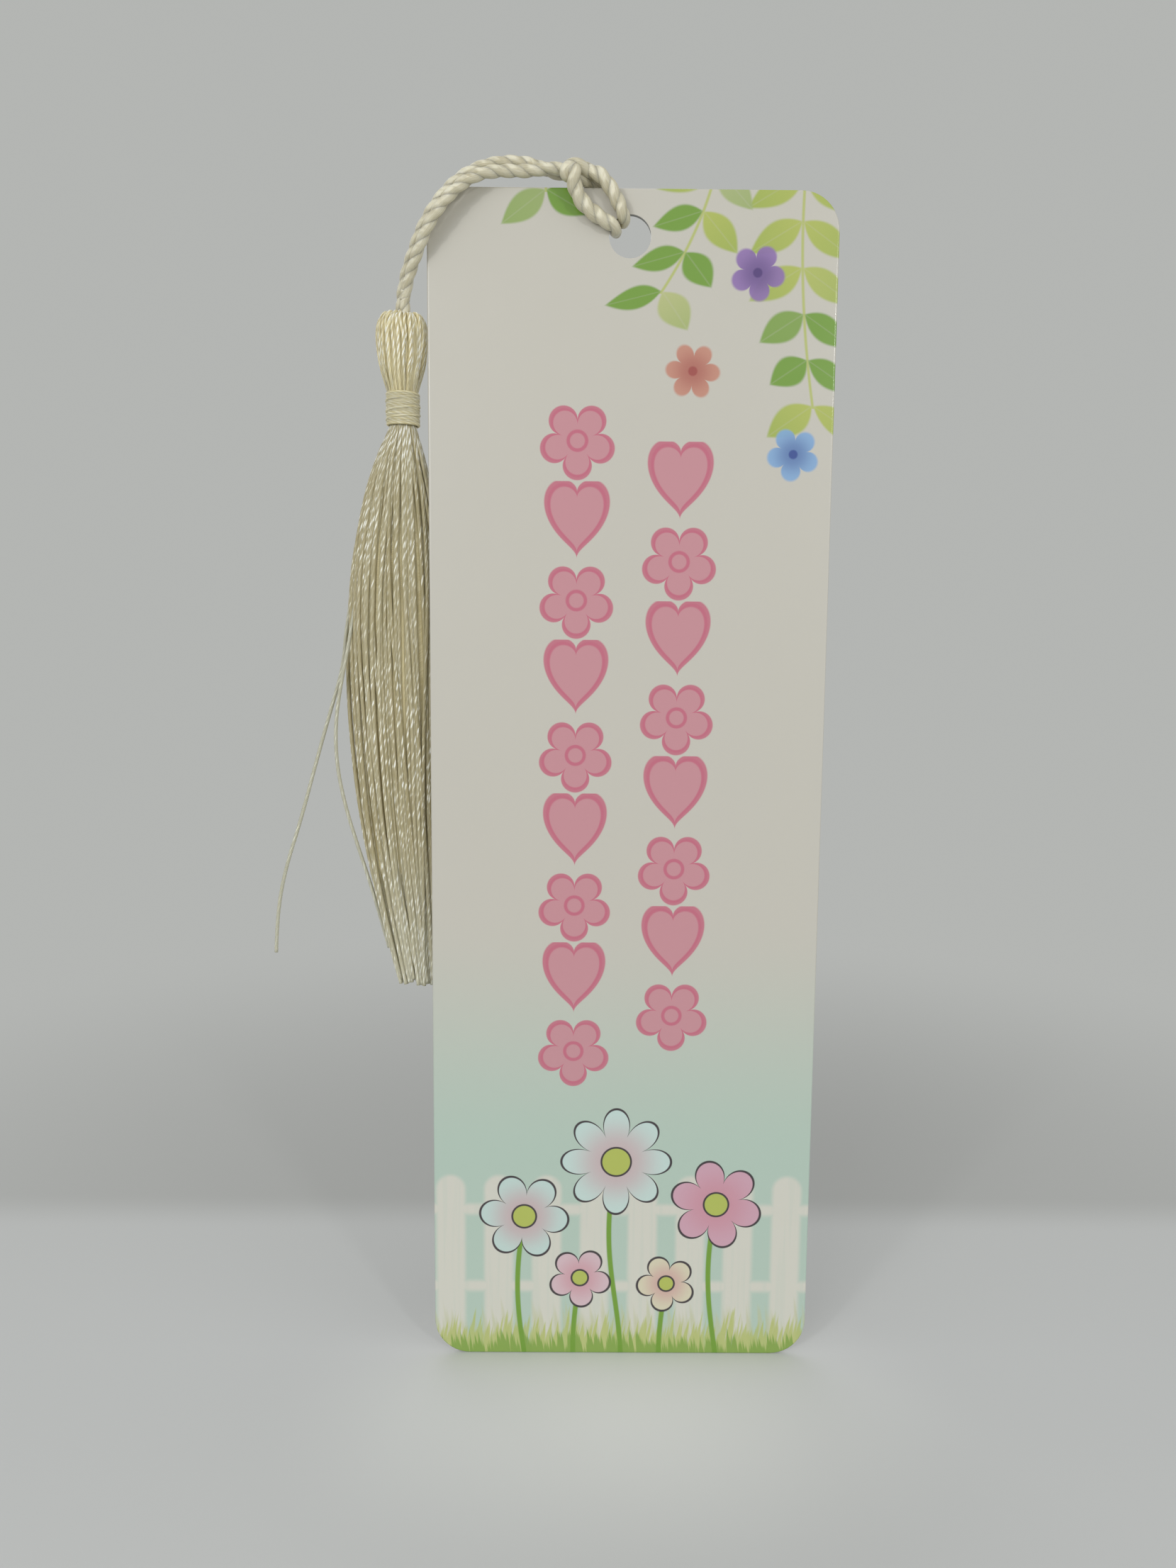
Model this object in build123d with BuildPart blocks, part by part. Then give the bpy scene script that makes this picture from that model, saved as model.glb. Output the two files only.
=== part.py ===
"""A bookmark: a slim gloss card with a hole near its top edge, and a floss tassel hitched through it on a doubled cord.

Millimetres. X runs to the right across the card, Y runs away from whoever reads its front, Z runs up the card.
The origin is the middle of the card's back face. The tassel hangs beside the card's left edge.
"""

import math
import os

from build123d import *

# Card
card_width = 50.8
card_length = 152.4
card_thickness = 0.76
card_corner_radius = 4.8
card_edge_radius = 0.25
hole_diameter = 5.2
hole_drop = 5.66
hole_side_offset = -0.4

# Cord
cord_diameter = 1.4
hitch_diameter = 1.2
hitch_end_gap = 0.1
cord_lift = 2.1
knot_diameter = 2.4
knot_clearance = 0.15

# Tassel
hang_drop = 14.3
hang_setback = 1.0
edge_gap = 0.3
head_diameter = 6.1
head_height = 9.1
head_rise = 0.6
head_strand_count = 26
head_strand_thickness = 0.5
head_strand_sink = 0.25
neck_diameter = 3.1
neck_length = 4.5
wrap_thread_diameter = 0.5
wrap_clearance = 0.05
wrap_foot_gap = 0.2
wrap_turns = 4
skirt_length = 72.9
skirt_width = 13.6
skirt_depth = 6.0
skirt_side_swing = 1.6
skirt_back_swing = 3.5
skirt_rings = 5
skirt_thread_diameter = 0.65
skirt_root_sink = 0.6
skirt_uneven_length = 2.4
stray_diameter = 0.6

# Shares that shape the pieces
arc_run_share = 0.45
strand_gap_share = 0.2
ring_margin_share = 0.5
stray_setback_share = 0.86
head_strand_gap_share = 0.16

# Head outline from crown to neck: drop as a share of the height, radius as a share of the largest
head_outline_shares = [
    (0.00, 0.59),
    (0.045, 0.76),
    (0.12, 0.90),
    (0.30, 0.985),
    (0.47, 1.00),
    (0.64, 0.95),
    (0.80, 0.845),
    (1.00, 0.705),
]

# Skirt from neck to tips: drop, half width, half depth, swing to the left, swing to the back, each a share of its size
skirt_outline_shares = [
    (0.05, 0.45, 0.75, 0.28, 0.14),
    (0.13, 0.68, 0.92, 0.48, 0.48),
    (0.28, 0.965, 1.00, 0.53, 0.75),
    (0.50, 0.975, 1.00, 0.34, 0.90),
    (0.78, 0.81, 0.96, -0.10, 0.98),
    (1.00, 0.51, 0.83, -0.97, 1.00),
]

# Hitch: side from the hole's middle in hole drops, depth from the card's middle in wraps, height over the top edge
hitch_route_shares = [
    (-1.581, 0.462, 0.371),
    (-1.360, 0.449, 0.376),
    (-1.131, 0.177, 0.382),
    (-0.901, -0.424, 0.353),
    (-0.689, -0.867, 0.230),
    (-0.495, -0.899, -0.018),
    (-0.318, -0.835, -0.353),
    (-0.141, -0.823, -0.769),
    (-0.141, 0.823, -0.769),
    (-0.239, 0.823, -0.336),
    (-0.389, 0.968, 0.106),
    (-0.618, 0.778, 0.477),
    (-0.919, -0.013, 0.645),
    (-1.219, -0.804, 0.663),
    (-1.475, -1.405, 0.583),
    (-1.572, -1.627, 0.371),
    (-1.475, -1.373, 0.168),
    (-1.201, -0.582, 0.136),
    (-0.936, 0.177, 0.140),
    (-0.689, 0.937, 0.124),
    (-0.592, 0.861, -0.194),
    (-0.459, 0.823, -0.565),
    (-0.309, 0.823, -1.034),
    (-0.309, -0.823, -1.034),
    (-0.671, -0.823, -0.769),
    (-0.972, -0.867, -0.495),
    (-1.122, -1.184, -0.221),
    (-1.113, -1.627, 0.027),
    (-1.087, -1.816, 0.239),
    (-1.193, -1.373, 0.415),
    (-1.369, -0.582, 0.375),
    (-1.581, -0.487, 0.371),
]

# Legs: way across from the hitch to the tassel, depth in front of the card in cord diameters, way down to the knot
leg_back_shares = [
    (0.000, -0.793, 0.000),
    (0.148, -0.721, -0.067),
    (0.347, -0.114, -0.049),
    (0.524, 0.564, 0.034),
    (0.680, 0.921, 0.177),
    (0.831, 0.886, 0.402),
    (0.935, -0.293, 0.628),
    (0.992, -1.186, 0.774),
    (1.016, -1.579, 0.902),
]
leg_front_shares = [
    (0.000, 0.279, 0.000),
    (0.148, 0.350, 0.034),
    (0.331, 0.850, 0.043),
    (0.487, 1.493, 0.091),
    (0.637, 1.814, 0.220),
    (0.785, 1.814, 0.430),
    (0.882, 0.636, 0.659),
    (0.933, -0.329, 0.793),
    (0.957, -0.793, 0.927),
]

# Stray threads: place in half widths and half depths from the skirt's middle line, and way down the skirt
stray_long_shares = [
    (-1.085, -0.03, 0.341),
    (-1.150, 0.03, 0.415),
    (-1.440, 0.10, 0.497),
    (-1.740, 0.13, 0.592),
    (-2.050, 0.13, 0.695),
    (-2.390, 0.13, 0.789),
    (-2.565, 0.10, 0.874),
    (-2.590, 0.03, 0.945),
]
stray_short_shares = [
    (-1.010, -0.43, 0.375),
    (-1.170, -0.40, 0.442),
    (-1.300, -0.34, 0.516),
    (-1.295, -0.24, 0.592),
    (-1.155, -0.14, 0.669),
    (-0.935, -0.04, 0.741),
    (-0.745, 0.06, 0.800),
]

# Places that follow from the sizes
top_z = card_length / 2
hole_z = top_z - hole_drop
card_middle_y = -card_thickness / 2
wrap_reach = card_thickness / 2 + hitch_diameter
hang_x = -(card_width / 2 + edge_gap + head_diameter / 2)
knot_z = top_z - hang_drop
crown_z = knot_z - head_rise
head_bottom_z = crown_z - head_height
neck_bottom_z = head_bottom_z - neck_length
hang_axis = Plane(origin=(hang_x, hang_setback, 0))
hang_side = Plane(origin=(hang_x, hang_setback, 0), x_dir=(1, 0, 0), z_dir=(0, -1, 0))


def finish(piece, label):
    """Names a finished piece and writes its file."""
    piece.part.label = label
    export_step(piece.part, f"parts/{label}.step")
    print(label, "volume", round(piece.part.volume, 3), "solids", len(piece.part.solids()))


def arc_radii(points):
    """The largest arcs that the straight runs on both sides of each corner leave room for."""
    radii = []
    for before, at, after in zip(points, points[1:], points[2:]):
        come, go = at - before, after - at
        half_turn = math.radians(come.get_angle(go)) / 2
        radii.append(arc_run_share * min(come.length, go.length) / math.tan(half_turn))
    return radii


def cord(points, diameter, label, round_start=False):
    """A round cord along straight runs that tangent arcs join."""
    radii = arc_radii(points)
    with BuildPart() as piece:
        with BuildLine() as path:
            FilletPolyline(*points, radius=radii)
        with BuildSketch(Plane(origin=points[0], z_dir=points[1] - points[0])) as section:
            Circle(diameter / 2)
        sweep()
        plain = section.sketch.area * path.wires()[0].length
        swept = piece.part.volume
        if round_start:
            with Locations(points[0]):
                Sphere(diameter / 2)
    print(label, "radii", [round(r, 2) for r in radii], "volume ratio", round(swept / plain, 4))
    return piece


# Card: a rounded plate with softened edges and one punched hole
with BuildPart() as card:
    with BuildSketch(Plane.XZ):
        RectangleRounded(card_width, card_length, card_corner_radius)
    extrude(amount=card_thickness)
    fillet(card.edges().group_by(Axis.Y)[0] + card.edges().group_by(Axis.Y)[-1], card_edge_radius)
    with Locations(Plane(origin=(hole_side_offset, 0, hole_z), z_dir=(0, 1, 0))):
        Hole(hole_diameter / 2)

# Hitch: the bight goes over the top edge and round both legs, which go down the front and through the hole
hitch_points = [
    Vector(hole_side_offset + side * hole_drop, card_middle_y + depth * wrap_reach, top_z + up * hole_drop)
    for side, depth, up in hitch_route_shares
]
cord_hitch = cord(hitch_points, hitch_diameter, "cord_hitch")

# Legs: two strands side by side from the hitch, in front of the card's corner, down to the tassel
swing_x = hitch_points[0].X - cord_diameter / 2 - hitch_end_gap
swing_z = top_z + cord_lift


def leg_points(shares):
    """A leg's corners, between the hitch and the knot."""
    return [
        Vector(
            swing_x + across * (hang_x - swing_x),
            -card_thickness - depth * cord_diameter,
            swing_z - down * (swing_z - knot_z),
        )
        for across, depth, down in shares
    ]


cord_leg_back = cord(leg_points(leg_back_shares), cord_diameter, "cord_leg_back", round_start=True)
cord_leg_front = cord(leg_points(leg_front_shares), cord_diameter, "cord_leg_front", round_start=True)

# Knot: the gathered end of the legs, in the dimple of the head's crown
with BuildPart() as cord_knot:
    with Locations((hang_x, hang_setback, knot_z)):
        Sphere(knot_diameter / 2)

# Head: threads folded over the cord, close round a full core, with a dimple for the knot
head_points = [
    Vector(radius * head_diameter / 2, crown_z - drop * head_height) for drop, radius in head_outline_shares
]


def head_strand():
    """One folded thread of the head, on the X side of an upright axis through the origin."""
    pitch_angle = 2 * math.pi / head_strand_count
    sections = []
    for i, at in enumerate(head_points):
        way = (head_points[min(i + 1, len(head_points) - 1)] - head_points[max(i - 1, 0)]).normalized()
        inward = Vector(way.Y, -way.X)
        middle = at + inward * (head_strand_thickness / 2)
        across = (1 - head_strand_gap_share) * pitch_angle * middle.X
        plane = Plane(origin=(middle.X, 0, middle.Y), x_dir=(0, 1, 0), z_dir=(way.X, 0, way.Y))
        with BuildSketch(plane) as section:
            Rectangle(across, head_strand_thickness)
        sections.append(section.sketch.face())
    return loft(sections, ruled=True, mode=Mode.PRIVATE)


one_head_strand = head_strand()
core_reach = head_strand_thickness - head_strand_sink
with BuildPart(hang_axis) as tassel_head:
    with BuildSketch(hang_side):
        with BuildLine():
            rim = [Vector(p.X - core_reach, p.Y) for p in head_points]
            Polyline((0, head_bottom_z), (0, crown_z - core_reach), *[(p.X, p.Y - core_reach) for p in rim[:1]])
            Polyline((rim[0].X, crown_z - core_reach), *[(p.X, p.Y) for p in rim[1:]])
            Line((rim[-1].X, rim[-1].Y), (0, head_bottom_z))
        make_face()
    revolve(axis=Axis((hang_x, hang_setback, 0), (0, 0, 1)))
    with PolarLocations(0, head_strand_count):
        add(one_head_strand)
    with Locations((0, 0, knot_z)):
        Sphere(knot_diameter / 2 + knot_clearance, mode=Mode.SUBTRACT)

# Neck wrap: one thread wound round the bound neck, on quarter turns of tangent arcs, with straight ends
wrap_radius = neck_diameter / 2 + wrap_clearance + wrap_thread_diameter / 2
wrap_run = neck_length - wrap_thread_diameter - wrap_clearance - wrap_foot_gap
wrap_pitch = wrap_run / wrap_turns
wrap_top_z = head_bottom_z - wrap_clearance - wrap_thread_diameter / 2


def wrap_point(turn):
    """The thread's middle line and its direction after so many turns."""
    angle = 2 * math.pi * turn
    at = Vector(
        hang_x + wrap_radius * math.cos(angle),
        hang_setback + wrap_radius * math.sin(angle),
        wrap_top_z - wrap_pitch * turn,
    )
    round_way = 2 * math.pi * wrap_radius
    return at, Vector(-round_way * math.sin(angle), round_way * math.cos(angle), -wrap_pitch).normalized()


with BuildPart() as neck_wrap:
    with BuildLine() as wound:
        first, first_way = wrap_point(0)
        last, last_way = wrap_point(wrap_turns)
        Line(first - first_way * wrap_thread_diameter, first)
        quarters = 4 * wrap_turns
        for i in range(quarters):
            start, start_way = wrap_point(wrap_turns * i / quarters)
            end, end_way = wrap_point(wrap_turns * (i + 1) / quarters)
            chord, ways = end - start, start_way + end_way
            bend = 2 * (1 - start_way.dot(end_way))
            reach = (math.sqrt(chord.dot(ways) ** 2 + bend * chord.dot(chord)) - chord.dot(ways)) / bend
            leave, arrive = start + start_way * reach, end - end_way * reach
            meet = (leave + arrive) / 2
            TangentArc(start, meet, tangent=start_way)
            TangentArc(meet, end, tangent=arrive - leave)
        Line(last, last + last_way * wrap_thread_diameter)
    with BuildSketch(Plane(origin=first - first_way * wrap_thread_diameter, z_dir=first_way)) as thread:
        Circle(wrap_thread_diameter / 2)
    sweep()
samples_a_turn = 48
wound_points = [wrap_point(i / samples_a_turn)[0] for i in range(wrap_turns * samples_a_turn + 1)]
least_gap = min(
    (a - b).length - wrap_thread_diameter
    for i, a in enumerate(wound_points)
    for b in wound_points[i + samples_a_turn // 2:]
)
print("neck_wrap least gap to itself", round(least_gap, 3))
print("neck_wrap volume ratio", round(neck_wrap.part.volume / (thread.sketch.area * wound.wires()[0].length), 4))

# Skirt: threads in rings that spread from the bound neck, bow out and draw in towards their uneven tips
neck_rings_radius = neck_diameter / 2
skirt_stations = [(-skirt_root_sink, neck_rings_radius, neck_rings_radius, 0, 0)] + [
    (drop * skirt_length, wide * skirt_width / 2, deep * skirt_depth / 2, left * skirt_side_swing, back * skirt_back_swing)
    for drop, wide, deep, left, back in skirt_outline_shares
]
skirt_stations.insert(1, (0, neck_rings_radius, neck_rings_radius, 0, 0))


def skirt_at(drop):
    """Half width, half depth and middle of the skirt at a drop below the neck."""
    for upper, lower in zip(skirt_stations, skirt_stations[1:]):
        if drop <= lower[0] or lower is skirt_stations[-1]:
            way = (drop - upper[0]) / (lower[0] - upper[0])
            return [a + (b - a) * way for a, b in zip(upper[1:], lower[1:])]


def skirt_strand(ring, angle, shorter):
    """One thread of the skirt, at one place of its ring all the way down."""
    drops = [station[0] for station in skirt_stations[:-1]] + [skirt_length - shorter]
    sections = []
    for drop in drops:
        wide, deep, left, back = skirt_at(drop)
        across = min(skirt_thread_diameter, (1 - strand_gap_share) * wide / (skirt_rings + ring_margin_share))
        along = min(skirt_thread_diameter, (1 - strand_gap_share) * deep / (skirt_rings + ring_margin_share))
        out = ring / skirt_rings
        x = hang_x - left + out * (wide - across / 2) * math.cos(angle)
        y = hang_setback + back + out * (deep - along / 2) * math.sin(angle)
        with BuildSketch(Plane(origin=(x, y, neck_bottom_z - drop))) as section:
            Rectangle(across, along)
        sections.append(section.sketch.face())
    return loft(sections, ruled=True, mode=Mode.PRIVATE)


golden_share = (math.sqrt(5) - 1) / 2
skirt_strands = []
for ring in range(skirt_rings + 1):
    for place in range(max(1, 6 * ring)):
        uneven = skirt_uneven_length * ((len(skirt_strands) * golden_share) % 1)
        skirt_strands.append(skirt_strand(ring, 2 * math.pi * place / max(1, 6 * ring), uneven))
with BuildPart() as tassel_skirt:
    with BuildSketch(Plane(origin=(hang_x, hang_setback, neck_bottom_z))):
        Circle(neck_diameter / 2)
    extrude(amount=neck_length)
    add(skirt_strands)


def stray_points(shares):
    """A stray thread's corners beside the skirt."""
    corners = []
    for wide, deep, drop in shares:
        corners.append(
            Vector(
                hang_x + wide * skirt_width / 2 - skirt_side_swing / 2,
                hang_setback + skirt_back_swing * stray_setback_share + deep * skirt_depth / 2,
                neck_bottom_z - drop * skirt_length,
            )
        )
    return corners


stray_thread_long = cord(stray_points(stray_long_shares), stray_diameter, "stray_thread_long")
stray_thread_short = cord(stray_points(stray_short_shares), stray_diameter, "stray_thread_short")

os.makedirs("parts", exist_ok=True)
finish(card, "card")
finish(cord_hitch, "cord_hitch")
finish(cord_leg_back, "cord_leg_back")
finish(cord_leg_front, "cord_leg_front")
finish(cord_knot, "cord_knot")
finish(tassel_head, "tassel_head")
finish(neck_wrap, "neck_wrap")
finish(tassel_skirt, "tassel_skirt")
finish(stray_thread_long, "stray_thread_long")
finish(stray_thread_short, "stray_thread_short")
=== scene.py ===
"""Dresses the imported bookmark: its printed card, the hitched cord and the floss tassel, on a plain pale floor."""

import math
import random

import bpy
from bpy.props import FloatProperty, FloatVectorProperty, IntProperty, PointerProperty
from mathutils import Matrix, Vector


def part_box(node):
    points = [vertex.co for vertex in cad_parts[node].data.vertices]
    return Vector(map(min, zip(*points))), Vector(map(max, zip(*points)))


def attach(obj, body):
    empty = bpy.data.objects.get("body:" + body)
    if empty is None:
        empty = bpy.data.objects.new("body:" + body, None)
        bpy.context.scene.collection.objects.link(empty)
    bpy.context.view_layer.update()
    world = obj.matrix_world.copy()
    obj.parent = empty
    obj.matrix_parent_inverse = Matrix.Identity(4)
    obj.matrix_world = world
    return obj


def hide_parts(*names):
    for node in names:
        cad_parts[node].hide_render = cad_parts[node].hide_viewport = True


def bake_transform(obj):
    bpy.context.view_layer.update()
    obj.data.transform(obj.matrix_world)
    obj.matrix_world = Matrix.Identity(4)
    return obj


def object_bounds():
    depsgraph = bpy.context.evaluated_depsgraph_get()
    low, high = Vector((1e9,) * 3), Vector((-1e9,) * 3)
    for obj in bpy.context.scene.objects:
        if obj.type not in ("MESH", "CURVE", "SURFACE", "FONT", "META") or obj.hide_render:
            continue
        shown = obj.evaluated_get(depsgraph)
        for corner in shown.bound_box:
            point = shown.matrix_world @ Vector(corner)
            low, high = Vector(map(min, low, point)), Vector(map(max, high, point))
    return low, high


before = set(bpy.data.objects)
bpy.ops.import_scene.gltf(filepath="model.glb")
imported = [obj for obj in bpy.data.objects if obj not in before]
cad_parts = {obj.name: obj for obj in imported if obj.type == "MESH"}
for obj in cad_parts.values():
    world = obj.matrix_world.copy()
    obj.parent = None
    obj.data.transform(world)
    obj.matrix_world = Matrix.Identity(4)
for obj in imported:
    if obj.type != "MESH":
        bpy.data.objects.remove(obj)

bl_info = {
    "name": "Bookmark dresser",
    "version": (1, 0, 0),
    "blender": (4, 5, 0),
    "location": "View3D > Sidebar > Bookmark",
    "description": "Prints the card, lays the cord and hangs the tassel of a bookmark",
    "category": "Object",
}

CAD_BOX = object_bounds()
MM = 0.001

# Routes in millimetres, close to the solids' own
HITCH_ROUTE = [
    (-9.35, 0.35, 78.15), (-8.1, 0.3, 77.95), (-6.8, -0.25, 77.9), (-5.4, -1.3, 77.95), (-4.1, -1.95, 77.3),
    (-3.0, -1.9, 76.0), (-2.0, -1.75, 74.4), (-1.1, -1.68, 72.4), (-1.2, 0.92, 72.3), (-1.75, 0.92, 74.3),
    (-2.6, 1.15, 75.9), (-3.9, 0.6, 77.3), (-5.4, -0.9, 77.95), (-6.8, -2.25, 78.1), (-7.95, -2.9, 77.9),
    (-8.45, -3.05, 77.2), (-8.1, -2.75, 76.75), (-7.0, -1.5, 76.95), (-5.7, -0.1, 76.99), (-4.3, 1.1, 76.9),
    (-3.75, 0.98, 75.1), (-3.0, 0.92, 73.0), (-2.15, 0.92, 71.1), (-2.1, -1.68, 71.3), (-4.0, -1.68, 72.3),
    (-5.9, -1.75, 73.6), (-7.0, -2.2, 75.0), (-7.4, -2.9, 76.2), (-7.25, -3.2, 77.2), (-7.45, -2.55, 77.9),
    (-8.25, -1.3, 78.0), (-9.35, -1.15, 78.15),
]
# Share of the cord's thickness at each of those points: squeezed behind the card, full where it lies free
HITCH_FULLNESS = [
    0.95, 0.95, 1.0, 1.1, 1.15, 1.15, 1.15, 1.0, 0.85, 0.85, 0.9, 1.0, 1.15, 1.2, 1.1, 1.05,
    1.0, 1.0, 0.95, 0.85, 0.85, 0.85, 0.85, 1.0, 1.2, 1.25, 1.25, 1.15, 1.1, 1.0, 0.95, 0.95,
]
BACK_LEG_ROUTE = [
    (-10.15, 0.35, 78.3), (-12.9, 0.25, 79.4), (-16.6, -0.6, 79.1), (-19.9, -1.55, 77.75), (-22.8, -2.05, 75.4),
    (-25.5, -2.0, 71.7), (-27.4, -0.35, 68.0), (-28.45, 0.85, 65.6), (-28.85, 1.25, 63.5),
]
FRONT_LEG_ROUTE = [
    (-10.15, -1.15, 78.3), (-12.9, -1.25, 77.75), (-16.3, -1.95, 77.6), (-19.2, -2.85, 76.8), (-22.0, -3.3, 74.7),
    (-24.75, -3.3, 71.25), (-26.65, -1.65, 67.5), (-27.8, -0.15, 65.3), (-28.35, 0.6, 63.1),
]
# Share of the cord's thickness along each leg, which draws in towards the tassel
LEG_FULLNESS = [1.0, 1.0, 1.0, 0.97, 0.94, 0.92, 0.9, 0.88, 0.84]
KNOT_ROUTE = [
    (-28.75, 1.1, 64.3), (-28.85, 1.25, 63.3), (-28.95, 1.35, 62.2), (-28.85, 1.25, 61.3), (-28.6, 0.95, 61.0),
    (-28.35, 0.65, 61.4), (-28.3, 0.55, 62.2), (-28.35, 0.6, 63.2), (-28.15, 0.3, 64.2),
]
KNOT_FULLNESS = 0.84
STRAY_DIAMETER = 0.56
STRAY_LONG_ROUTE = [
    (-33.4, 2.6, 35.0), (-35.4, 3.2, 29.0), (-36.9, 3.9, 23.0), (-37.4, 4.1, 17.6), (-39.3, 4.3, 11.6),
    (-41.4, 4.4, 4.6), (-43.5, 4.4, -2.9), (-45.8, 4.4, -9.8), (-47.0, 4.3, -16.0), (-47.2, 4.1, -21.2),
]
STRAY_SHORT_ROUTE = [
    (-34.2, 2.3, 31.0), (-35.5, 2.5, 25.5), (-36.4, 2.7, 20.5), (-37.5, 2.8, 15.6), (-38.4, 3.0, 10.2),
    (-38.4, 3.3, 4.6), (-37.4, 3.6, -1.0), (-35.9, 3.9, -6.3), (-34.6, 4.2, -10.6), (-33.2, 4.3, -15.5),
    (-31.9, 4.4, -20.5),
]

# Head of the tassel, from its dimple over the crown to the neck: radius, height and share of the yarn's thickness
HEAD_PROFILE = [
    (1.0, 59.7, 0.62), (1.4, 60.9, 0.75), (1.95, 61.5, 0.9), (2.5, 61.15, 1.0), (2.88, 60.2, 1.05), (3.0, 58.8, 1.05),
    (2.9, 57.2, 1.0), (2.74, 55.8, 0.95), (2.42, 54.4, 0.85), (2.04, 53.0, 0.72), (1.76, 51.9, 0.62), (1.5, 50.6, 0.55),
]
# Skirt of the tassel below the neck: drop, half width, half depth, swing to the left, swing to the back
SKIRT_STATIONS = [
    (-1.2, 1.6, 1.6, 0.0, 0.0), (0.0, 1.86, 1.8, 0.0, 0.0), (3.65, 3.25, 2.3, 0.5, 0.49), (9.5, 4.85, 2.76, 0.9, 1.68),
    (20.4, 6.9, 3.0, 1.2, 2.62), (36.5, 7.0, 3.0, 1.0, 3.15), (56.9, 5.8, 2.88, 0.25, 3.43),
    (72.9, 3.6, 2.49, -1.45, 3.5),
]
# Rings of yarns in the skirt as shares of its half width, and the share that its packed core fills at each station
SKIRT_RINGS = (0.0, 0.32, 0.6, 0.8, 0.92, 1.0)
SKIRT_CORE = (0.89, 0.91, 0.91, 0.91, 0.91, 0.86, 0.1)
# Share of a yarn's thickness at each station
SKIRT_TAPER = (0.5, 0.58, 0.85, 0.98, 1.0, 1.0, 1.0, 0.94)
SKIRT_GROUPS = 5
SKIRT_YARN_LENGTH = 75
# Share of the outer yarns that lie loose, and how much further they wander and stand out
LOOSE_SHARE = 0.2
LOOSE_WANDER = 3.5
LOOSE_STAND = 0.05

# Head: the height that its yarns face away from, their thickness as a share of the skirt's, and how far in its core is
HEAD_MIDDLE = 57.0
HEAD_YARN_SHARE = 0.85
HEAD_YARN_LENGTH = 16
HEAD_CORE_INSET = 0.16
HEAD_CORE_DROP = 0.25

# Neck and the thread wound round it
NECK_FOOT = 47.7
NECK_TOP = 52.2
WRAP_RADIUS = 1.98
WRAP_MARGIN = 0.3
WRAP_CORNERS = 14
WRAP_START = 0.7
WRAP_THREAD = 0.46
WRAP_THREAD_PITCH = 4.0
# Turns that go back up over the winding: how many, where they start, and their climb and lift
BACK_TURNS = 3
BACK_FOOT = 0.35
BACK_CLIMB = 1.15
BACK_LIFT = 0.09

# Each ply's radius as a share of the cord's, and a plain strand's as a share of its nominal one
PLY_SHARE = 0.81
STRAND_SHARE = 0.88
# Ways toward which the cord's and the stray yarns' painted glints face
CORD_FRONT = Vector((-0.4, -0.85, 0.35))
STRAY_FRONT = Vector((-0.3, -0.95, 0))
# Painted glints are dense above one height and below another, and the skirt's yarn is painted paler towards its tips
DENSE_ABOVE = 28.0
DENSE_BELOW = -8.0
DENSE_RAMP = 0.06
PALE_RAMP = 0.05
PALE_TONE = (0.75, 0.78, 0.68)

# Hole in the card: its middle, and a reach that takes in its wall, which is painted dark as shade
HOLE_MIDDLE = (-0.4, 70.54)
HOLE_REACH = 2.75
# Print: root, heading in degrees, bend, pairs of leaves, leaf length and seed of each sprig
SPRIGS = (
    ((21.0, 78.5), -93, 0.004, 6, 7.6, 2.0),
    ((10.2, 79.0), -103, -0.012, 4, 7.2, 5.0),
    ((-10.8, 76.4), -86, 0.0, 1, 7.4, 9.0),
)
# Middle, radius, petals, turn, colour and eye of each small blossom
SMALL_BLOSSOMS = (
    ((15.4, 66.4), 3.4, 5, 0.5, (0.27, 0.16, 0.42), (0.10, 0.06, 0.20)),
    ((7.6, 54.6), 3.4, 6, 0.2, (0.55, 0.25, 0.18), (0.36, 0.09, 0.08)),
    ((20.4, 44.6), 3.3, 5, 1.1, (0.22, 0.40, 0.66), (0.05, 0.09, 0.30)),
)
# Middle, radius, petals, turn and colour of each tall blossom
TALL_BLOSSOMS = (
    ((-13.2, -56.4), 6.0, 6, 0.3, (0.52, 0.66, 0.62)),
    ((12.8, -54.6), 6.2, 6, 0.9, (0.60, 0.36, 0.44)),
    ((-0.8, -48.6), 7.4, 8, 0.0, (0.54, 0.68, 0.64)),
    ((-5.6, -65.2), 4.2, 5, 0.6, (0.64, 0.48, 0.52)),
    ((6.2, -66.0), 4.0, 5, 1.3, (0.66, 0.62, 0.46)),
)
BLOSSOM_LINE = (0.05, 0.04, 0.045)
# Heights between which the stock fades to mint
MINT_FADE = (-14.0, -50.0)

# Floor, in metres: where it turns to the backdrop's grey behind the card, and where it fades out all round
FLOOR_EDGE = (0.033, 0.046)
FLOOR_FADE = (0.06, 0.24)
# Light that the card throws on the floor, painted into its colour: how far in front of it, its reach and its tone
GLOW_FRONT = 0.012
GLOW_REACH = 0.017
GLOW_TONE = (0.80, 0.815, 0.785)
# Camera: its place, the way it looks, its right hand, and its focal length as a share of the picture's height
CAMERA_PLACE = (-6.02, -152.36, 21.05)
CAMERA_VIEW = (0.0065, 0.9928, -0.1199)
CAMERA_RIGHT = (1.0, -0.0056, 0.0081)
CAMERA_FOCUS = 1661.0 / 2212.0
# Lamps, in metres: name, place, size and share of the key light's power, and the place that all of them face
LAMPS = (
    ("key", (-0.35, -0.60, 0.25), 0.36, 1.0),
    ("left_sparkle", (-0.26, -0.40, 0.14), 0.045, 0.3),
    ("right_sparkle", (0.22, -0.42, 0.17), 0.045, 0.3),
    ("fill", (0.45, -0.30, 0.12), 0.4, 0.35),
    ("rim", (-0.15, 0.45, 0.40), 0.4, 0.35),
)
LAMP_AIM = Vector((-0.01, 0, 0))
WORLD_LIGHT = 0.58


# Settings

def colour_setting(name, description, default):
    """A colour in the panel."""
    return FloatVectorProperty(name=name, description=description, subtype="COLOR", default=default)


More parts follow.
